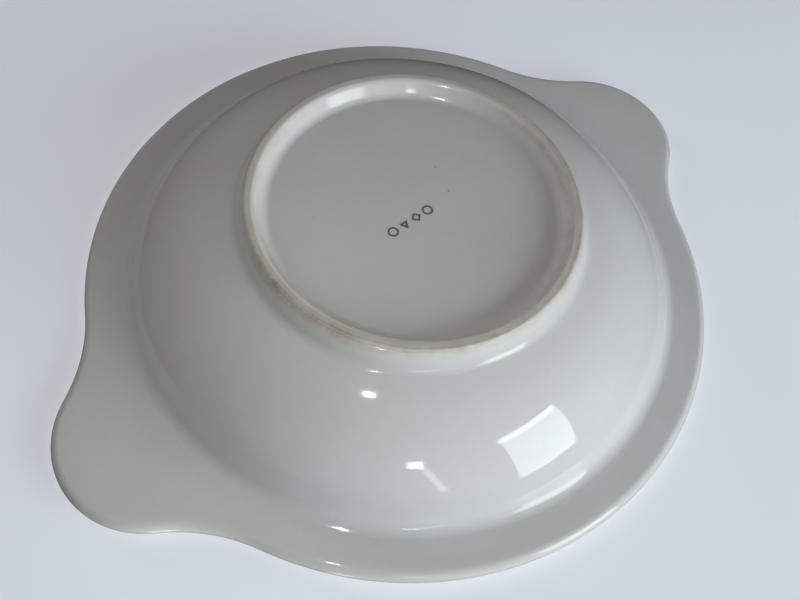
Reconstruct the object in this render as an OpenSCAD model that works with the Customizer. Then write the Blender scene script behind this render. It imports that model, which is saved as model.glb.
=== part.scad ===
// Round porcelain serving bowl with a flat flange, two lug handles and a foot ring.
// It stands upright on its foot ring: the mouth opens towards +Z, the lugs point along X,
// and the origin is the centre of the foot ring where it touches the table.

/* [Rim and flange] */
// Radius of the round rim
rim_r = 114; // [112:1:118]
// Thickness of the flange and the lugs, whose edge is fully rounded
flange_t = 6; // [5:0.5:6.5]
// Width of the flat underside of the flange
flange_w = 12; // [11.5:0.5:14]
// Overall height, from the table to the top of the flange
height = 46; // [44:1:50]

/* [Lug handles] */
// Reach of each lug from the centre of the bowl
lug_reach = 138.5; // [134:0.5:142]
// Radius of the rounded end of a lug
lug_nose_r = 32.5; // [28:0.5:36]
// Radius of the hollow curve that runs from the rim into a lug
lug_blend_r = 62; // [50:1:75]

/* [Wall and well] */
// Slope of the underside next to the foot ring, in degrees
base_slope = 19; // [17:1:21]
// Slope of the wall where it meets the flange, in degrees
wall_slope = 64; // [60:1:68]
// Radius of the outer curve of the wall
wall_curve_r = 55; // [52:1:56]
// Thickness of the wall
wall_t = 5.5; // [4.5:0.5:6]
// Radius of the hollow fillet between the wall and the underside of the flange
flange_fillet_r = 5.2; // [4:0.2:6]
// Radius of the rounded lip where the flange turns down into the well
lip_round_r = 8; // [6:0.5:9]
// Slope at which the inner wall runs out into the floor of the well, in degrees
floor_slope = 10; // [8:1:12]
// Radius of the gentle curve between the inner wall and the floor of the well
floor_curve_r = 98; // [80:2:110]

/* [Foot ring] */
// Outer radius of the flat band that touches the table
foot_r = 56.2; // [55:0.1:57]
// Width of the flat band
foot_band = 3.2; // [2.6:0.1:3.4]
// Slope of the outer side of the foot ring, in degrees
foot_slope = 62; // [58:1:70]
// Radius of the hollow fillet where the foot ring meets the wall
foot_fillet_r = 4; // [3:0.5:5]
// Depth of the recessed base inside the foot ring
recess_depth = 5.2; // [4.5:0.1:5.6]
// Slope of the inner side of the foot ring, in degrees
recess_slope = 57; // [50:1:62]
// Radius of the hollow fillet around the recessed base
recess_fillet_r = 3; // [2:0.5:4]

/* [Glaze and stamp] */
// Thickness of the glaze
glaze_t = 0.3; // [0.2:0.05:0.4]
// Height above the table at which the glaze stops on both sides of the foot ring
bare_h = 0.9; // [0.6:0.1:1.2]
// Height of one ink mark of the base stamp
mark_h = 3.8; // [3:0.1:4.5]
// Stroke width of the ink marks
mark_stroke = 0.6; // [0.4:0.1:0.8]
// Distance from one ink mark to the next
mark_pitch = 5; // [4.6:0.1:6]
// Thickness of the ink film
ink_t = 0.12; // [0.1:0.02:0.2]
// Offset of the stamp from the centre of the base, along and across the lugs
stamp_offset = [-4.5, 3.5]; // [-10:0.1:10]

/* [Hidden] */
$fn = 96;
// angle step of the arcs in a profile
step = 4;
// a hair of overlap for cuts
eps = 0.5;

// rounded edge of the flange, the width of the strip that carries it,
// and how far the strip runs under the flat parts that it borders
edge_r = flange_t / 2;
edge_z = height - edge_r;
strip_w = 9;
strip_lap = strip_w / 2;

// outer wall: fillet under the flange, then the wall's curve, then the sloping underside
fillet_c = [rim_r - flange_w, height - flange_t - flange_fillet_r];
wall_top = fillet_c + flange_fillet_r * [-sin(wall_slope), cos(wall_slope)];
wall_c = wall_top + wall_curve_r * [-sin(wall_slope), cos(wall_slope)];
wall_foot = wall_c + wall_curve_r * [sin(base_slope), -cos(base_slope)];

// foot ring: where its outer side meets the sloping underside
foot_in = foot_r - foot_band;
foot_meet_r = (wall_foot[1] - wall_foot[0] * tan(base_slope) + foot_r * tan(foot_slope))
              / (tan(foot_slope) - tan(base_slope));
foot_meet = [foot_meet_r, (foot_meet_r - foot_r) * tan(foot_slope)];
foot_turn = foot_slope - base_slope;
foot_fillet_run = foot_fillet_r * tan(foot_turn / 2);
foot_fillet_c = foot_meet + foot_fillet_run * [cos(base_slope), sin(base_slope)]
                + foot_fillet_r * [sin(base_slope), -cos(base_slope)];

// recessed base inside the foot ring
recess_run = recess_fillet_r * tan(recess_slope / 2);
recess_r = foot_in - recess_depth / tan(recess_slope);
recess_fillet_c = [recess_r - recess_run, recess_depth - recess_fillet_r];

// inner wall, parallel to the outer wall, and the floor of the well
inner_r = wall_curve_r - wall_t;
floor_end = wall_c + inner_r * [sin(floor_slope), -cos(floor_slope)];
floor_c = floor_end + floor_curve_r * [-sin(floor_slope), cos(floor_slope)];
inner_top = wall_c + inner_r * [sin(wall_slope), -cos(wall_slope)];
lip_z = height - lip_round_r;
lip_touch_z = lip_z + lip_round_r * cos(wall_slope);
lip_c = [inner_top[0] + (lip_touch_z - inner_top[1]) / tan(wall_slope)
         + lip_round_r * sin(wall_slope), lip_z];

// plan outline of one lug, from arcs that touch: nose, hollow blend, rim
nose_x = lug_reach - lug_nose_r;
blend_d = rim_r + lug_blend_r;
blend_gap = lug_nose_r + lug_blend_r;
blend_angle = acos((blend_d ^ 2 + nose_x ^ 2 - blend_gap ^ 2) / (2 * blend_d * nose_x));
blend_c = blend_d * [cos(blend_angle), sin(blend_angle)];
nose_angle = atan2(blend_c[1], blend_c[0] - nose_x);

// points along an arc from angle a to angle b, in steps of about `step` degrees
function arc(c, r, a, b) =
    let (n = max(1, ceil(abs(b - a) / step)))
    [for (i = [0 : n]) c + r * [cos(a + (b - a) * i / n), sin(a + (b - a) * i / n)]];

// point on the outer side of the foot ring at height z, moved in by g
function foot_side(z, g) = [foot_r + z / tan(foot_slope) - g / sin(foot_slope), z];
// point on the inner side of the foot ring at height z, moved in by g
function foot_inside(z, g) = [foot_in - z / tan(recess_slope) + g / sin(recess_slope), z];

// Half section of the round bowl out to radius `reach`, with every glazed face moved in by g.
function section(g, reach) = concat(
    [[0, recess_depth + g]],
    arc(recess_fillet_c, recess_fillet_r + g, 90, 90 - recess_slope),
    g > 0 ? [foot_inside(bare_h, g)] : [],
    [foot_inside(bare_h, 0), [foot_in, 0], [foot_r, 0], foot_side(bare_h, 0)],
    g > 0 ? [foot_side(bare_h, g)] : [],
    arc(foot_fillet_c, foot_fillet_r + g, 90 + foot_slope, 90 + base_slope),
    arc(wall_c, wall_curve_r - g, base_slope - 90, wall_slope - 90),
    arc(fillet_c, flange_fillet_r + g, 90 + wall_slope, 90),
    [[reach, height - flange_t + g], [reach, height - g]],
    arc(lip_c, lip_round_r - g, 90, 90 + wall_slope),
    arc(wall_c, inner_r + g, wall_slope - 90, floor_slope - 90),
    arc(floor_c, floor_curve_r + g, floor_slope - 90, -90),
    [[0, floor_c[1] - floor_curve_r - g]]
);

// Section of the rounded edge strip: x is the distance outside the edge of the flange.
function edge_section(g) = concat(
    [[-strip_w, edge_z - edge_r + g]],
    arc([-edge_r, edge_z], edge_r - g, -90, 90),
    [[-strip_w, edge_z + edge_r - g]]
);

// Rounded edge swept round an arc of radius r about c, from angle a to angle b.
module edge_strip(c, r, a, b, g, hollow = false) {
    translate([c[0], c[1], 0])
        rotate([0, 0, a])
            rotate_extrude(angle = b - a)
                translate([r, 0])
                    mirror([hollow ? 1 : 0, 0])
                        polygon(edge_section(g));
}

// One lug on the +X side: its rounded edge and the flat web inside it.
module lug(g) {
    edge_strip([nose_x, 0], lug_nose_r, -nose_angle, nose_angle, g);
    for (side = [-1, 1]) {
        c = [blend_c[0], side * blend_c[1]];
        a = side > 0 ? 180 + blend_angle : 180 - nose_angle;
        b = side > 0 ? 180 + nose_angle : 180 - blend_angle;
        edge_strip(c, lug_blend_r, a, b, g, hollow = true);
    }
    web = concat(
        arc([nose_x, 0], lug_nose_r - strip_lap, -nose_angle, nose_angle),
        arc(blend_c, lug_blend_r + strip_lap, 180 + nose_angle, 180 + blend_angle),
        arc([0, 0], rim_r - strip_w, blend_angle, -blend_angle),
        arc([blend_c[0], -blend_c[1]], lug_blend_r + strip_lap, 180 - blend_angle, 180 - nose_angle)
    );
    translate([0, 0, height - flange_t + g])
        linear_extrude(flange_t - 2 * g)
            polygon(web);
}

// The whole form of the bowl, with every glazed face moved in by g.
module bowl_form(g) {
    rotate_extrude()
        polygon(section(g, rim_r - strip_lap));
    for (turn = [0, 180])
        rotate([0, 0, turn]) {
            edge_strip([0, 0], rim_r, blend_angle, 180 - blend_angle, g);
            lug(g);
        }
}

// Fired clay: well, wall, flange, both lugs and the foot ring in one piece.
module porcelain_body() {
    color("#d8d4cc")
        bowl_form(glaze_t);
}

// Glaze on everything above the bare band of the foot ring.
module main_glaze_coat() {
    color("#e6e8e6")
        difference() {
            bowl_form(0);
            bowl_form(glaze_t);
            translate([0, 0, -eps])
                cylinder(r = foot_r - foot_band / 2, h = recess_depth + 3 * eps);
        }
}

// Glaze on the recessed base, inside the bare band of the foot ring.
module recess_glaze_coat() {
    coat = concat(
        [[0, recess_depth]],
        arc(recess_fillet_c, recess_fillet_r, 90, 90 - recess_slope),
        [foot_inside(bare_h, 0), foot_inside(bare_h, glaze_t)],
        arc(recess_fillet_c, recess_fillet_r + glaze_t, 90 - recess_slope, 90),
        [[0, recess_depth + glaze_t]]
    );
    color("#dcdad4")
        rotate_extrude()
            polygon(coat);
}

// Outline of a regular mark with n corners, drawn as a stroke.
module mark(n, turn) {
    outer_r = mark_h / 2;
    rotate([0, 0, turn])
        difference() {
            circle(r = outer_r, $fn = n);
            circle(r = outer_r - mark_stroke / (n > 12 ? 1 : cos(180 / n)), $fn = n);
        }
}

// Plain ink marks in a row along the lugs: ring, triangle, diamond, ring.
module base_stamp() {
    marks = [[48, 0], [3, 90], [4, 0], [48, 0]];
    row = len(marks) - 1;
    color("#5c5a55")
        translate([stamp_offset[0], stamp_offset[1], recess_depth - ink_t])
            linear_extrude(ink_t)
                for (i = [0 : row])
                    translate([(i - row / 2) * mark_pitch, 0])
                        mark(marks[i][0], marks[i][1]);
}

porcelain_body();
main_glaze_coat();
recess_glaze_coat();
base_stamp();
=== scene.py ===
"""A white glazed porcelain serving bowl with two lug handles.

The bowl stands on its foot ring with the mouth up and one lug each way along X.
Sizes are worked out in millimetres and become metres when a section is drawn.
"""

import math

import bpy
from mathutils import Matrix, Quaternion, Vector


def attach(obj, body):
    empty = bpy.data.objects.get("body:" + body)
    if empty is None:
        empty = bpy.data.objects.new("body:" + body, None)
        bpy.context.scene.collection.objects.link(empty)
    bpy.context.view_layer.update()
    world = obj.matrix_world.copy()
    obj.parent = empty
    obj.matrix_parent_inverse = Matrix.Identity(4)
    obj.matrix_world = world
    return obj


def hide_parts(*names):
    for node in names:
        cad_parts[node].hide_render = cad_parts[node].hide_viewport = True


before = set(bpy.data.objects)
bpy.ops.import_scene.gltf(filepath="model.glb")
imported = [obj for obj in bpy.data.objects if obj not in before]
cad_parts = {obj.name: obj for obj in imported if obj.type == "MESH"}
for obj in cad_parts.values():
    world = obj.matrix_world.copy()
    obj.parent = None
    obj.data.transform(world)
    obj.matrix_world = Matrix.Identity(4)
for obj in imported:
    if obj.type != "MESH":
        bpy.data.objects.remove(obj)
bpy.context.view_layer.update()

MM = 0.001
FACETS = 320
WELD_MM = 0.004
SMOOTH_ANGLE = 50

# Rim, flange and lugs
RIM_R = 114.0
HEIGHT = 46.0
FLANGE_T = 6.0
FLANGE_W = 12.0
FLANGE_FILLET_R = 5.2
LUG_REACH = 138.5
LUG_NOSE_R = 32.5
LUG_BLEND_R = 62.0

# Wall and well
BASE_SLOPE = 19.0
WALL_SLOPE = 64.0
WALL_CURVE_R = 55.0
WALL_T = 5.5
LIP_ROUND_R = 8.0
FLOOR_SLOPE = 10.0
FLOOR_CURVE_R = 98.0

# Foot ring and recess
FOOT_R = 56.2
FOOT_BAND = 3.2
FOOT_SLOPE = 62.0
FOOT_FILLET_R = 4.0
FOOT_OUTER_ROUND_R = 1.0
FOOT_INNER_ROUND_R = 2.5
RECESS_DEPTH = 5.2
RECESS_SLOPE = 57.0
RECESS_FILLET_R = 3.0

# Glaze, and the margins where it stops on the foot ring: a height outside, a turn in degrees inside
GLAZE_T = 0.3
BARE_H = 0.9
BARE_TURN = 10.0
BEAD = 0.03
MARGIN_TOP = 2.0
MARGIN_OUT = 1.5
MARGIN_TURN = 9.0


# ---- The bowl's section, as (radius, height) points ----

def along(start, angle, distance):
    """The point at a distance from another, in a direction given in degrees."""
    turn = math.radians(angle)
    return (start[0] + distance * math.cos(turn), start[1] + distance * math.sin(turn))


def arc(centre, radius, start, stop, step):
    """Points of an arc from one direction to another, no more than a step apart."""
    count = max(2, math.ceil(abs(stop - start) / step))
    return [along(centre, start + (stop - start) * i / count, radius) for i in range(count + 1)]


def run(start, stop, count):
    """Points inside a straight run, without its two ends."""
    shares = [(i + 1) / (count + 1) for i in range(count)]
    return [tuple(a + (b - a) * share for a, b in zip(start, stop)) for share in shares]


def tan(angle):
    return math.tan(math.radians(angle))


def sin(angle):
    return math.sin(math.radians(angle))


def cos(angle):
    return math.cos(math.radians(angle))


FLANGE_ROOT_R = RIM_R - FLANGE_W
EDGE_R = FLANGE_T / 2
EDGE_CENTRE = (RIM_R - EDGE_R, HEIGHT - EDGE_R)
FILLET_CENTRE = (FLANGE_ROOT_R, HEIGHT - FLANGE_T - FLANGE_FILLET_R)
WALL_CENTRE = along(FILLET_CENTRE, 90 + WALL_SLOPE, FLANGE_FILLET_R + WALL_CURVE_R)
WALL_FOOT = along(WALL_CENTRE, BASE_SLOPE - 90, WALL_CURVE_R)
INNER_R = WALL_CURVE_R - WALL_T
FLOOR_END = along(WALL_CENTRE, FLOOR_SLOPE - 90, INNER_R)
FLOOR_CENTRE = along(FLOOR_END, FLOOR_SLOPE + 90, FLOOR_CURVE_R)
INNER_TOP = along(WALL_CENTRE, WALL_SLOPE - 90, INNER_R)
LIP_Z = HEIGHT - LIP_ROUND_R
LIP_TOUCH_Z = LIP_Z + LIP_ROUND_R * cos(WALL_SLOPE)
LIP_CENTRE = (
    INNER_TOP[0] + (LIP_TOUCH_Z - INNER_TOP[1]) / tan(WALL_SLOPE) + LIP_ROUND_R * sin(WALL_SLOPE),
    LIP_Z,
)
FOOT_IN = FOOT_R - FOOT_BAND
FOOT_MEET_R = (WALL_FOOT[1] - WALL_FOOT[0] * tan(BASE_SLOPE) + FOOT_R * tan(FOOT_SLOPE)) / (
    tan(FOOT_SLOPE) - tan(BASE_SLOPE)
)
FOOT_MEET = (FOOT_MEET_R, (FOOT_MEET_R - FOOT_R) * tan(FOOT_SLOPE))
FOOT_FILLET_START = along(FOOT_MEET, BASE_SLOPE, FOOT_FILLET_R * tan((FOOT_SLOPE - BASE_SLOPE) / 2))
FOOT_FILLET_CENTRE = along(FOOT_FILLET_START, BASE_SLOPE - 90, FOOT_FILLET_R)
RECESS_FILLET_CENTRE = (
    FOOT_IN - RECESS_DEPTH / tan(RECESS_SLOPE) - RECESS_FILLET_R * tan(RECESS_SLOPE / 2),
    RECESS_DEPTH - RECESS_FILLET_R,
)


def foot_outside(height, depth):
    """A point on the foot ring's outer side, at a depth below the glaze surface."""
    return (FOOT_R + height / tan(FOOT_SLOPE) - depth / sin(FOOT_SLOPE), height)


def foot_inside(height, depth):
    """A point on the foot ring's inner side, at a depth below the glaze surface."""
    return (FOOT_IN - height / tan(RECESS_SLOPE) + depth / sin(RECESS_SLOPE), height)


def upper_line(depth, fineness):
    """From the middle of the well, up the wall, over the lip and round the rim edge."""
    flat_z = HEIGHT - depth
    middle = (0.0, FLOOR_CENTRE[1] - FLOOR_CURVE_R - depth)
    floor = arc(FLOOR_CENTRE, FLOOR_CURVE_R + depth, -90, FLOOR_SLOPE - 90, 1.2 * fineness)
    wall = arc(WALL_CENTRE, INNER_R + depth, FLOOR_SLOPE - 90, WALL_SLOPE - 90, 3 * fineness)
    lip = arc(LIP_CENTRE, LIP_ROUND_R - depth, WALL_SLOPE + 90, 90, 6 * fineness)
    flat = run((LIP_CENTRE[0], flat_z), (EDGE_CENTRE[0], flat_z), 6)
    edge = arc(EDGE_CENTRE, EDGE_R - depth, 90, -90, 10 * fineness)
    return [middle] + floor[1:] + wall[1:] + run(wall[-1], lip[0], 1) + lip + flat + edge


def lower_line(depth, fineness):
    """From the rim edge, under the flange and down the wall to the foot ring."""
    flat_z = HEIGHT - FLANGE_T + depth
    flat = run((EDGE_CENTRE[0], flat_z), (FLANGE_ROOT_R, flat_z), 5)
    fillet = arc(FILLET_CENTRE, FLANGE_FILLET_R + depth, 90, WALL_SLOPE + 90, 5 * fineness)
    wall = arc(WALL_CENTRE, WALL_CURVE_R - depth, WALL_SLOPE - 90, BASE_SLOPE - 90, 3 * fineness)
    foot = arc(FOOT_FILLET_CENTRE, FOOT_FILLET_R + depth, BASE_SLOPE + 90, FOOT_SLOPE + 90, 4 * fineness)
    return flat + fillet + wall[1:] + run(wall[-1], foot[0], 2) + foot


def recess_line(depth, fineness):
    """From the foot ring's inner side up and across the recess to its middle."""
    fillet = arc(RECESS_FILLET_CENTRE, RECESS_FILLET_R + depth, 90 - RECESS_SLOPE, 90, 5 * fineness)
    return fillet + run(fillet[-1], (0, fillet[-1][1]), 8) + [(0.0, fillet[-1][1])]


OUTER_ROUND_CENTRE = (FOOT_R - FOOT_OUTER_ROUND_R * tan(FOOT_SLOPE / 2), FOOT_OUTER_ROUND_R)
INNER_ROUND_CENTRE = (FOOT_IN + FOOT_INNER_ROUND_R * tan(RECESS_SLOPE / 2), FOOT_INNER_ROUND_R)


def inner_round(turn, depth):
    """A point on the foot ring's rounded inner edge, at a turn from straight down towards the axis."""
    return along(INNER_ROUND_CENTRE, -90 - turn, FOOT_INNER_ROUND_R - depth)


def bare_foot_line():
    """The wiped clay of the foot ring, from the glaze margin outside to the one inside."""
    outer_start = [foot_outside(BARE_H + 0.1, GLAZE_T), foot_outside(BARE_H - 0.05, 0)]
    outer_edge = arc(OUTER_ROUND_CENTRE, FOOT_OUTER_ROUND_R, FOOT_SLOPE - 90, -90, 8)
    inner_edge = [inner_round(turn, 0) for turn in (0, 4, 8, BARE_TURN + 1)]
    under_glaze = [inner_round(turn, GLAZE_T) for turn in (BARE_TURN + 4, 30, 45, RECESS_SLOPE)]
    return outer_start + outer_edge + run(outer_edge[-1], inner_edge[0], 3) + inner_edge + under_glaze


def outer_margin():
    """The glaze's rounded lower edge on the outer side of the foot ring, from outside to inside."""
    steps = ((0.9, 0.0), (0.5, -BEAD / 2), (0.2, -BEAD), (0.06, -BEAD / 2), (0.0, 0.05), (-0.03, 0.3))
    return [foot_outside(BARE_H + rise, depth) for rise, depth in steps]


def inner_margin():
    """The glaze's rounded edge on the inner side of the foot ring, from the bare band up the slope."""
    bead = ((-1, 0.3), (0, 0.05), (2, -BEAD / 2), (6, -BEAD), (14, -BEAD / 2), (24, 0), (35, 0))
    steps = bead + ((RECESS_SLOPE - BARE_TURN, 0),)
    return [inner_round(BARE_TURN + turn, depth) for turn, depth in steps]


# ---- Shaping ----

def put_down_everything():
    bpy.ops.object.select_all(action="DESELECT")


def draw_section(name, points):
    """Draws a section as one line of edges, by pulling a corner from point to point."""
    put_down_everything()
    bpy.ops.mesh.primitive_plane_add(size=MM, location=(0, 0, 0))
    piece = bpy.context.object
    piece.name = name
    piece.data.name = name
    bpy.ops.object.mode_set(mode="EDIT")
    bpy.ops.mesh.select_all(action="SELECT")
    bpy.ops.mesh.merge(type="CENTER")
    bpy.ops.transform.translate(value=(points[0][0] * MM, 0, points[0][1] * MM))
    for here, there in zip(points, points[1:]):
        pull = ((there[0] - here[0]) * MM, 0, (there[1] - here[1]) * MM)
        bpy.ops.mesh.extrude_vertices_move(TRANSFORM_OT_translate={"value": pull})
    return piece


def turn_on_wheel(piece):
    """Spins a drawn section about Z and closes the seam and the two middles."""
    bpy.ops.mesh.select_all(action="SELECT")
    bpy.ops.mesh.spin(steps=FACETS, angle=math.tau, center=(0, 0, 0), axis=(0, 0, 1))
    bpy.ops.mesh.select_all(action="SELECT")
    bpy.ops.mesh.remove_doubles(threshold=WELD_MM * MM)
    bpy.ops.mesh.normals_make_consistent(inside=False)
    bpy.ops.object.mode_set(mode="OBJECT")


NOSE_X = LUG_REACH - LUG_NOSE_R
BLEND_D = RIM_R + LUG_BLEND_R
BLEND_GAP = LUG_NOSE_R + LUG_BLEND_R
BLEND_ANGLE = math.acos((BLEND_D**2 + NOSE_X**2 - BLEND_GAP**2) / (2 * BLEND_D * NOSE_X))
NOSE_CENTRE = Vector((NOSE_X, 0))
BLEND_CENTRE = Vector((BLEND_D * math.cos(BLEND_ANGLE), BLEND_D * math.sin(BLEND_ANGLE)))
NOSE_END = NOSE_CENTRE + (BLEND_CENTRE - NOSE_CENTRE) * LUG_NOSE_R / BLEND_GAP
NOSE_END_ANGLE = math.atan2(NOSE_END.y, NOSE_END.x)


def reach(ray, centre, radius, far):
    """How far along a ray from the middle an arc of the outline lies."""
    middle = ray.dot(centre)
    half = math.sqrt(middle**2 - centre.length_squared + radius**2)
    return middle + half if far else middle - half


def outline(angle):
    """The plan outline's point in a direction, and its outward normal there."""
    ray = Vector((math.cos(angle), math.sin(angle)))
    sides = Vector((math.copysign(1, ray.x), math.copysign(1, ray.y)))
    ray = ray * sides
    from_lug = math.atan2(ray.y, ray.x)
    if from_lug > BLEND_ANGLE:
        point, outward = ray * RIM_R, ray
    elif from_lug > NOSE_END_ANGLE:
        point = ray * reach(ray, BLEND_CENTRE, LUG_BLEND_R, far=False)
        outward = (BLEND_CENTRE - point) / LUG_BLEND_R
    else:
        point = ray * reach(ray, NOSE_CENTRE, LUG_NOSE_R, far=True)
        outward = (point - NOSE_CENTRE) / LUG_NOSE_R
    return point * sides, outward * sides


def draw_out_lugs(piece):
    """Stretches the flat flange to the lug outline, so its rounded edge keeps its section."""
    for corner in piece.data.vertices:
        plan = Vector((corner.co.x, corner.co.y)) / MM
        out = plan.length
        if out <= FLANGE_ROOT_R:
            continue
        point, outward = outline(math.atan2(plan.y, plan.x))
        root = plan.normalized() * FLANGE_ROOT_R
        share = min(1.0, (out - FLANGE_ROOT_R) / (EDGE_CENTRE[0] - FLANGE_ROOT_R))
        rounding = point - outward * (RIM_R - max(out, EDGE_CENTRE[0]))
        place = root.lerp(rounding, share)
        corner.co.x, corner.co.y = place * MM


def wander(angle):
    """How far the wiped glaze margins stray, in millimetres, at a bearing round the ring."""
    waves = ((3, 0.09, 1.0), (7, 0.06, 2.1), (16, 0.05, 0.4), (37, 0.03, 2.0))
    return sum(size * math.sin(count * angle + start) for count, size, start in waves)


def stray_outside(out, height, shift):
    """Slides a point near the outer margin up or down the foot ring's outer side."""
    nearness = max(0.0, 1 - abs(height - BARE_H) / (BARE_H * 0.6))
    return along((out, height), FOOT_SLOPE, shift * min(1.0, 2 * nearness))


def stray_inside(out, height, shift):
    """Slides a point near the inner margin round the foot ring's rounded inner edge."""
    arm = Vector((out, height)) - Vector(INNER_ROUND_CENTRE)
    turn = -90 - math.degrees(math.atan2(arm.y, arm.x))
    nearness = max(0.0, 1 - abs(turn - BARE_TURN) / MARGIN_TURN)
    turned = turn + 2.5 * math.degrees(shift / FOOT_INNER_ROUND_R) * min(1.0, 2 * nearness)
    return along(INNER_ROUND_CENTRE, -90 - turned, arm.length)


def let_margin_wander(piece):
    """Makes both glaze margins on the foot ring stray a little from true circles."""
    for corner in piece.data.vertices:
        plan = Vector((corner.co.x, corner.co.y)) / MM
        height = corner.co.z / MM
        if height > MARGIN_TOP or not FOOT_IN < plan.length < FOOT_R + MARGIN_OUT:
            continue
        angle = math.atan2(plan.y, plan.x)
        if plan.length > OUTER_ROUND_CENTRE[0]:
            out, up = stray_outside(plan.length, height, wander(angle))
        else:
            out, up = stray_inside(plan.length, height, wander(angle + 2))
        plan = plan.normalized() * out
        corner.co = (plan.x * MM, plan.y * MM, max(up, 0.0) * MM)


def smooth(piece):
    put_down_everything()
    piece.select_set(True)
    bpy.context.view_layer.objects.active = piece
    bpy.ops.object.shade_smooth_by_angle(angle=math.radians(SMOOTH_ANGLE))


# Places on the section where glaze pools in a hollow or thins over an edge, each with its spread
POOLS = (
    (along(FILLET_CENTRE, 120, FLANGE_FILLET_R), 7.0),
    (along(FOOT_FILLET_CENTRE, 130, FOOT_FILLET_R), 5.0),
    (along(RECESS_FILLET_CENTRE, 60, RECESS_FILLET_R), 4.5),
    (FLOOR_END, 16.0),
)
THIN_EDGES = (
    ((RIM_R, HEIGHT - EDGE_R), 4.5),
    ((FOOT_R, BARE_H), 2.2),
    ((FOOT_IN + 0.5, 0.3), 2.0),
    (along(LIP_CENTRE, 120, LIP_ROUND_R), 6.0),
)


def nearness_to(place, spots):
    """One on any of some spots, falling to zero at its spread."""
    return max(max(0, 1 - (place - Vector(spot)).length / spread) for spot, spread in spots)


def mark_glaze_depth(piece):
    """Notes the glaze's depth at each point: above 0.5 where it pools, below where it thins."""
    layer = piece.data.attributes.new("glaze_depth", "FLOAT", "POINT")
    for corner, note in zip(piece.data.vertices, layer.data):
        place = Vector((math.hypot(corner.co.x, corner.co.y), corner.co.z)) / MM
        note.value = 0.5 + 0.5 * nearness_to(place, POOLS) - 0.5 * nearness_to(place, THIN_EDGES)


def make_clay_body():
    """The fired clay under the glaze, bare on the foot ring."""
    glazed = upper_line(GLAZE_T, 1.5) + lower_line(GLAZE_T, 1.5)
    body = draw_section("clay_body", glazed + bare_foot_line() + recess_line(GLAZE_T, 1.5))
    turn_on_wheel(body)
    let_margin_wander(body)
    draw_out_lugs(body)
    smooth(body)
    return body


def make_white_glaze():
    """The glaze over the well, lip, flange, lugs, wall and the foot ring's outer side."""
    outer = upper_line(0, 1) + lower_line(0, 1) + outer_margin()
    under = upper_line(GLAZE_T, 2) + lower_line(GLAZE_T, 2)
    glaze = draw_section("white_glaze", outer + under[::-1])
    turn_on_wheel(glaze)
    mark_glaze_depth(glaze)
    let_margin_wander(glaze)
    draw_out_lugs(glaze)
    smooth(glaze)
    return glaze


def make_recess_glaze():
    """The glaze on the recessed base inside the foot ring."""
    outer = inner_margin() + recess_line(0, 1)
    under_round = [inner_round(turn, GLAZE_T) for turn in (20, 38, RECESS_SLOPE)]
    under = under_round + recess_line(GLAZE_T, 2)
    glaze = draw_section("recess_glaze", under[::-1] + outer)
    turn_on_wheel(glaze)
    mark_glaze_depth(glaze)
    let_margin_wander(glaze)
    smooth(glaze)
    return glaze


# ---- Finishes ----

def new_finish(name):
    """An empty node material with its shader and object coordinates."""
    finish = bpy.data.materials.new(name)
    finish.use_nodes = True
    nodes = finish.node_tree.nodes
    nodes.clear()
    shader = nodes.new("ShaderNodeBsdfPrincipled")
    result = nodes.new("ShaderNodeOutputMaterial")
    place = nodes.new("ShaderNodeTexCoord")
    finish.node_tree.links.new(shader.outputs["BSDF"], result.inputs["Surface"])
    return finish, shader, place.outputs["Object"]


def join(finish, source, target):
    finish.node_tree.links.new(source, target)


def grain(finish, place, scale, detail=3.0, roughness=0.5):
    """A cloudy pattern, with a scale in features for each metre."""
    noise = finish.node_tree.nodes.new("ShaderNodeTexNoise")
    noise.inputs["Scale"].default_value = scale
    noise.inputs["Detail"].default_value = detail
    noise.inputs["Roughness"].default_value = roughness
    join(finish, place, noise.inputs["Vector"])
    return noise.outputs["Fac"]


def stretch(finish, value, low, high, new_low=0.0, new_high=1.0):
    """Spreads a band of a pattern's values over a new band, clamped to it."""
    spread = finish.node_tree.nodes.new("ShaderNodeMapRange")
    spread.inputs["From Min"].default_value = low
    spread.inputs["From Max"].default_value = high
    spread.inputs["To Min"].default_value = new_low
    spread.inputs["To Max"].default_value = new_high
    join(finish, value, spread.inputs["Value"])
    return spread.outputs["Result"]


def work(finish, operation, first, second=0.0):
    """Arithmetic on one or two values, each a socket or a number."""
    maths = finish.node_tree.nodes.new("ShaderNodeMath")
    maths.operation = operation
    for socket, value in zip(maths.inputs, (first, second)):
        if isinstance(value, (int, float)):
            socket.default_value = value
        else:
            join(finish, value, socket)
    return maths.outputs["Value"]


def tint(finish, share, first, second, blend="MIX"):
    """Mixes two colours, each a socket or an RGB triple, by a share."""
    mix = finish.node_tree.nodes.new("ShaderNodeMix")
    mix.data_type = "RGBA"
    mix.blend_type = blend
    sockets = (mix.inputs[0], mix.inputs[6], mix.inputs[7])
    for socket, value in zip(sockets, (share, first, second)):
        if isinstance(value, (int, float)):
            socket.default_value = value
        elif isinstance(value, tuple):
            socket.default_value = (*value, 1)
        else:
            join(finish, value, socket)
    return mix.outputs[2]


def specks(finish, place, scale, size):
    """Sparse dots of one size in metres, in about a third of the cells."""
    cells = finish.node_tree.nodes.new("ShaderNodeTexVoronoi")
    cells.inputs["Scale"].default_value = scale
    join(finish, place, cells.inputs["Vector"])
    near = stretch(finish, cells.outputs["Distance"], size * scale, size * scale * 0.4)
    parts = finish.node_tree.nodes.new("ShaderNodeSeparateColor")
    join(finish, cells.outputs["Color"], parts.inputs["Color"])
    chosen = work(finish, "GREATER_THAN", parts.outputs["Red"], 0.66)
    return work(finish, "MULTIPLY", near, chosen)


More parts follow.
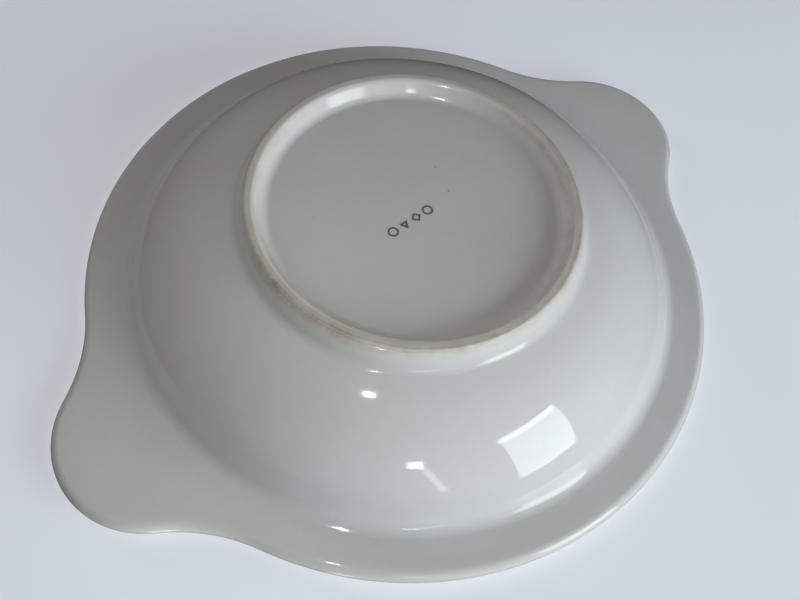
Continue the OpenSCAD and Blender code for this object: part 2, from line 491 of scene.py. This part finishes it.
def bump(finish, shader, height, strength, distance):
    relief = finish.node_tree.nodes.new("ShaderNodeBump")
    relief.inputs["Strength"].default_value = strength
    relief.inputs["Distance"].default_value = distance
    join(finish, height, relief.inputs["Height"])
    join(finish, relief.outputs["Normal"], shader.inputs["Normal"])


def distance_out(finish, place):
    """Distance from the bowl's axis, in metres."""
    flat = finish.node_tree.nodes.new("ShaderNodeVectorMath")
    flat.operation = "MULTIPLY"
    flat.inputs[1].default_value = (1, 1, 0)
    length = finish.node_tree.nodes.new("ShaderNodeVectorMath")
    length.operation = "LENGTH"
    join(finish, place, flat.inputs[0])
    join(finish, flat.outputs["Vector"], length.inputs[0])
    return length.outputs["Value"]


def ring_mask(finish, out, radius, width):
    """A soft-edged ring round the axis: one in its middle and zero at its width."""
    off = work(finish, "ABSOLUTE", work(finish, "SUBTRACT", out, radius * MM))
    return stretch(finish, off, width * MM, 0.0)


def round_the_foot(finish, place, strengths):
    """A strength that changes with bearing round the axis, from (share of a turn, strength) pairs."""
    turn = finish.node_tree.nodes.new("ShaderNodeTexGradient")
    turn.gradient_type = "RADIAL"
    join(finish, place, turn.inputs["Vector"])
    where = finish.node_tree.nodes.new("ShaderNodeValToRGB")
    ramp = where.color_ramp
    ends = (strengths[0], strengths[-1])
    for element, (spot, strength) in zip(ramp.elements, ends):
        element.position = spot
        element.color = (strength, strength, strength, 1)
    for spot, strength in strengths[1:-1]:
        ramp.elements.new(spot).color = (strength, strength, strength, 1)
    join(finish, turn.outputs["Fac"], where.inputs["Fac"])
    return where.outputs["Color"]


# Tea stain round the foot, strongest where the bowl stood wet: share of a turn from -X, then strength
STAINS = (
    (0.0, 1.0), (0.05, 0.75), (0.1, 0.3), (0.24, 0.35), (0.36, 0.2), (0.48, 0.45), (0.53, 0.75),
    (0.6, 0.5), (0.67, 0.8), (0.75, 0.35), (0.8, 0.6), (0.88, 0.4), (0.93, 0.9), (1.0, 1.0),
)


def tea_stain(finish, place, lines):
    """Patchy brown stain gathered along rings, each a (radius, width, strength)."""
    sway = work(finish, "SUBTRACT", grain(finish, place, 260, 3), 0.5)
    out = work(finish, "ADD", distance_out(finish, place), work(finish, "MULTIPLY", sway, 0.9 * MM))
    gathered = None
    for radius, width, strength in lines:
        line = work(finish, "MULTIPLY", ring_mask(finish, out, radius, width), strength)
        gathered = line if gathered is None else work(finish, "MAXIMUM", gathered, line)
    patches = stretch(finish, grain(finish, place, 170, 6, 0.7), 0.30, 0.68)
    where = round_the_foot(finish, place, STAINS)
    return work(finish, "MULTIPLY", gathered, work(finish, "MULTIPLY", patches, where))


def iron_spot(finish, place, spot, size):
    """One dark fleck in the glaze."""
    gap = finish.node_tree.nodes.new("ShaderNodeVectorMath")
    gap.operation = "DISTANCE"
    gap.inputs[1].default_value = tuple(value * MM for value in spot)
    join(finish, place, gap.inputs[0])
    return stretch(finish, gap.outputs["Value"], size * MM, 0.3 * size * MM)


def pool_and_thin(finish, tone):
    """Greener where the glaze pools and warmer where it thins, from the depth noted on the piece."""
    depth = finish.node_tree.nodes.new("ShaderNodeAttribute")
    depth.attribute_name = "glaze_depth"
    pooled = stretch(finish, depth.outputs["Fac"], 0.55, 1.0, 0, 0.5)
    thinned = stretch(finish, depth.outputs["Fac"], 0.45, 0.0, 0, 0.4)
    tone = tint(finish, pooled, tone, (0.60, 0.615, 0.60))
    return tint(finish, thinned, tone, (0.74, 0.69, 0.60))


def flecked(finish, place, tone, spots):
    """Adds dark iron flecks: scattered ones, and one at each (place, size) in millimetres."""
    dots = specks(finish, place, 48, 0.18 * MM)
    for spot, size in spots:
        dots = work(finish, "MAXIMUM", dots, iron_spot(finish, place, spot, size))
    return tint(finish, work(finish, "MULTIPLY", dots, 0.75), tone, (0.16, 0.11, 0.07))


def glaze_finish(name, light, warm, gloss, stain_lines, spots):
    """Glossy glaze: cloudy tone, pooled and thinned places, flecks, stain by the foot and a ripple."""
    finish, shader, place = new_finish(name)
    cloud = stretch(finish, grain(finish, place, 26, 2), 0.35, 0.65)
    tone = pool_and_thin(finish, tint(finish, cloud, light, warm))
    mottle = stretch(finish, grain(finish, place, 420, 4, 0.6), 0.3, 0.7, 0, 0.1)
    tone = tint(finish, mottle, tone, (0.52, 0.51, 0.48))
    stain = tea_stain(finish, place, stain_lines)
    tone = tint(finish, stain, tone, (0.36, 0.27, 0.17))
    join(finish, flecked(finish, place, tone, spots), shader.inputs["Base Color"])
    clouding = stretch(finish, grain(finish, place, 120, 4), 0.35, 0.65, gloss, gloss + 0.03)
    dulling = work(finish, "MULTIPLY", stain, 0.3)
    join(finish, work(finish, "ADD", clouding, dulling), shader.inputs["Roughness"])
    shader.inputs["IOR"].default_value = 1.5
    pinholes = work(finish, "MULTIPLY", grain(finish, place, 900, 2), 0.03)
    bump(finish, shader, work(finish, "ADD", grain(finish, place, 55, 2), pinholes), 0.12, 0.4 * MM)
    return finish


def bare_clay_finish():
    """Unglazed clay: fine grained, worn nearly smooth by use and stained along both glaze margins."""
    finish, shader, place = new_finish("bare_clay")
    cloud = stretch(finish, grain(finish, place, 300, 5), 0.3, 0.7)
    clay = tint(finish, cloud, (0.66, 0.64, 0.58), (0.60, 0.57, 0.50))
    lines = ((FOOT_R - 0.5, 1.3, 0.9), (FOOT_R + 0.3, 0.7, 0.8), (FOOT_IN + 1.2, 0.8, 0.4))
    stain = tea_stain(finish, place, lines)
    tone = tint(finish, stain, clay, (0.27, 0.175, 0.10))
    join(finish, tone, shader.inputs["Base Color"])
    shader.inputs["Roughness"].default_value = 0.42
    bump(finish, shader, grain(finish, place, 2200, 4, 0.7), 0.3, 0.1 * MM)
    return finish


def ink_finish():
    """Underglaze grey ink, patchy where the stamp took less of it."""
    finish, shader, place = new_finish("grey_ink")
    patches = stretch(finish, grain(finish, place, 1600, 4, 0.7), 0.4, 0.65)
    tone = tint(finish, patches, (0.10, 0.095, 0.09), (0.25, 0.24, 0.225))
    join(finish, tone, shader.inputs["Base Color"])
    shader.inputs["Roughness"].default_value = 0.35
    bump(finish, shader, patches, 0.2, 0.05 * MM)
    return finish


def give(piece, finish):
    piece.data.materials.clear()
    piece.data.materials.append(finish)


# ---- The floor, the lights and the camera ----

CARD_COLOUR = (0.62, 0.65, 0.70)
FLOOR_SIZE = 12
BACKDROP_R = 9


def card_finish(name, shade, glow):
    """Plain pale card that shows one face only: a shade of the lamps' light and a glow of its own."""
    finish = bpy.data.materials.new(name)
    finish.use_nodes = True
    nodes = finish.node_tree.nodes
    nodes.clear()
    card = nodes.new("ShaderNodeBsdfDiffuse")
    card.inputs["Color"].default_value = (*(shade * value for value in CARD_COLOUR), 1)
    light = nodes.new("ShaderNodeEmission")
    light.inputs["Color"].default_value = (*CARD_COLOUR, 1)
    light.inputs["Strength"].default_value = glow
    both = nodes.new("ShaderNodeAddShader")
    join(finish, card.outputs["BSDF"], both.inputs[0])
    join(finish, light.outputs["Emission"], both.inputs[1])
    clear = nodes.new("ShaderNodeBsdfTransparent")
    face = nodes.new("ShaderNodeNewGeometry")
    choice = nodes.new("ShaderNodeMixShader")
    join(finish, face.outputs["Backfacing"], choice.inputs["Fac"])
    join(finish, both.outputs["Shader"], choice.inputs[1])
    join(finish, clear.outputs["BSDF"], choice.inputs[2])
    result = nodes.new("ShaderNodeOutputMaterial")
    join(finish, choice.outputs["Shader"], result.inputs["Surface"])
    return finish


def set_up_card(card, name, shade, glow):
    """Names and finishes a card, and keeps its light, shade and mirror image off the bowl."""
    card.name = name
    give(card, card_finish(name, shade, glow))
    card.visible_shadow = False
    card.visible_diffuse = False
    card.visible_glossy = False


def lay_floor(name, height, face_down, shade, glow):
    """A card under the foot ring, or one that the rim rests on, face down."""
    put_down_everything()
    turn = (math.pi, 0, 0) if face_down else (0, 0, 0)
    bpy.ops.mesh.primitive_plane_add(size=FLOOR_SIZE, location=(0, 0, height), rotation=turn)
    set_up_card(bpy.context.object, name, shade, glow)


def hang_backdrop(glow):
    """A pale surround that meets the floor's far edge in one tone."""
    put_down_everything()
    bpy.ops.mesh.primitive_uv_sphere_add(segments=64, ring_count=32, radius=BACKDROP_R)
    bpy.ops.object.mode_set(mode="EDIT")
    bpy.ops.mesh.select_all(action="SELECT")
    bpy.ops.mesh.flip_normals()
    bpy.ops.object.mode_set(mode="OBJECT")
    set_up_card(bpy.context.object, "backdrop", 0.0, glow)


def direction(azimuth, elevation):
    a, e = math.radians(azimuth), math.radians(elevation)
    return Vector((math.cos(a) * math.cos(e), math.sin(a) * math.cos(e), math.sin(e)))


DAYLIGHT = (0.86, 0.94, 1.0)
LAMPLIGHT = (1.0, 0.985, 0.96)
WHITE = (1, 1, 1)
MIDDLE = (0, 0, 0.02)
WINDOW_SIDE = (-0.015, 0.083, 0.021)
SLIM_SIDE = (-0.052, 0.069, 0.022)


def hang_light(name, target, azimuth, elevation, distance, size, power, colour=WHITE, lean=0):
    """A soft box at a bearing from a point, turned to face it."""
    lamp = bpy.data.lights.new(name, "AREA")
    lamp.shape = "RECTANGLE"
    lamp.size, lamp.size_y = size
    lamp.energy = power
    lamp.color = colour
    box = bpy.data.objects.new(name, lamp)
    bpy.context.scene.collection.objects.link(box)
    away = direction(azimuth, elevation)
    box.location = Vector(target) + away * distance
    box.rotation_mode = "QUATERNION"
    facing = away.to_track_quat("Z", "Y")
    box.rotation_quaternion = facing @ Quaternion((0, 0, 1), math.radians(lean))
    return box


def hang_fill(*settings):
    """A soft box whose light falls on the glaze but leaves no mirror image in it."""
    hang_light(*settings).visible_glossy = False


def light_from_below():
    """Daylight from the +Y side, with a window and a slim box mirrored in the glaze, and a near lamp."""
    hang_fill("side_light", MIDDLE, 62, -14, 1.2, (0.8, 0.5), 6.4, DAYLIGHT)
    hang_fill("side_light_left", MIDDLE, 110, -14, 1.2, (0.5, 0.4), 1.4, DAYLIGHT)
    hang_fill("far_fill", MIDDLE, -100, -15, 1.2, (0.5, 0.4), 3.2)
    hang_fill("end_fill", MIDDLE, -8, -6, 1.2, (0.6, 0.12), 1.0)
    hang_light("window_box", WINDOW_SIDE, 78.5, -13.5, 1.0, (0.41, 0.64), 4.5, DAYLIGHT)
    hang_light("window_sill", WINDOW_SIDE, 79.5, -29.5, 1.0, (0.40, 0.07), 0.4, DAYLIGHT)
    hang_light("slim_box", SLIM_SIDE, 116, -13.5, 1.0, (0.05, 0.38), 0.22, lean=18)
    hang_light("slim_lamp", SLIM_SIDE, 122.5, -25.5, 1.0, (0.10, 0.09), 0.35)
    hang_light("near_lamp", MIDDLE, 144.6, -59, 0.298, (0.010, 0.005), 0.19, LAMPLIGHT)


def light_from_above():
    """Soft light on the well and the flange, with a small window and a slim box mirrored in them."""
    above = (0, 0, 0.03)
    hang_fill("top_key", above, -70, 55, 1.3, (0.8, 0.8), 17)
    hang_fill("top_fill", above, 130, 35, 1.5, (0.9, 0.6), 6)
    hang_light("top_window", above, -65, 48, 1.3, (0.30, 0.42), 1.6, DAYLIGHT)
    hang_light("top_slim_box", above, 140, 38, 1.4, (0.12, 0.5), 0.8)


def light_all_round():
    """A faint even light from everywhere."""
    world = bpy.data.worlds.new("studio")
    world.use_nodes = True
    air = world.node_tree.nodes["Background"]
    air.inputs["Color"].default_value = (0.93, 0.95, 1.0, 1)
    air.inputs["Strength"].default_value = 0.03
    bpy.context.scene.world = world


def set_camera():
    """Looks up at the base of the bowl from the +Y and -X side."""
    seat = Vector((-0.13018, 0.11287, -0.22372))
    right = Vector((0.75955, 0.64360, -0.09411))
    up = Vector((0.52223, -0.68966, -0.50165))
    back = Vector((-0.38776, 0.33188, -0.85994))
    lens = bpy.data.cameras.new("camera")
    lens.lens = 38.25
    lens.sensor_width = 36
    lens.clip_start = 0.01
    camera = bpy.data.objects.new("camera", lens)
    bpy.context.scene.collection.objects.link(camera)
    camera.matrix_world = Matrix((right, up, back)).transposed().to_4x4()
    camera.location = seat
    bpy.context.scene.camera = camera


# ---- Putting the bowl together ----

def settle(piece, finish, slot, *nodes):
    """Gives a piece its finish and its place on the part."""
    give(piece, finish)
    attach(piece, "root")
    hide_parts(*nodes)


white = glaze_finish(
    "white_glaze", light=(0.71, 0.71, 0.695), warm=(0.69, 0.68, 0.65), gloss=0.035,
    stain_lines=((FOOT_R + 0.7, 1.3, 0.6), (FOOT_R + 2.0, 4.0, 0.12)),
    spots=(((-88, 22, 40), 0.3), ((40, -62, 14), 0.25)),
)
base_white = glaze_finish(
    "recess_glaze", light=(0.70, 0.695, 0.67), warm=(0.68, 0.67, 0.64), gloss=0.08,
    stain_lines=((FOOT_IN - 0.8, 1.4, 0.8), (FOOT_IN - 2.5, 3.0, 0.2)),
    spots=(
        ((14.1, 1.7, RECESS_DEPTH), 0.45),
        ((17.4, -8.8, RECESS_DEPTH), 0.35),
        ((-29, -17, RECESS_DEPTH), 0.25),
    ),
)
settle(make_clay_body(), bare_clay_finish(), "bare_porcelain", "porcelain_body")
settle(make_white_glaze(), white, "white_glaze", "main_glaze_coat")
settle(make_recess_glaze(), base_white, "recess_glaze", "recess_glaze_coat")
give(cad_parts["base_stamp"], ink_finish())

lay_floor("floor", 0.0, False, shade=0.45, glow=0.75)
lay_floor("rim_floor", (HEIGHT + 0.2) * MM, True, shade=1.0, glow=0.5)
hang_backdrop(glow=0.75)
light_from_below()
light_from_above()
light_all_round()
set_camera()
bpy.context.scene.view_settings.view_transform = "Standard"
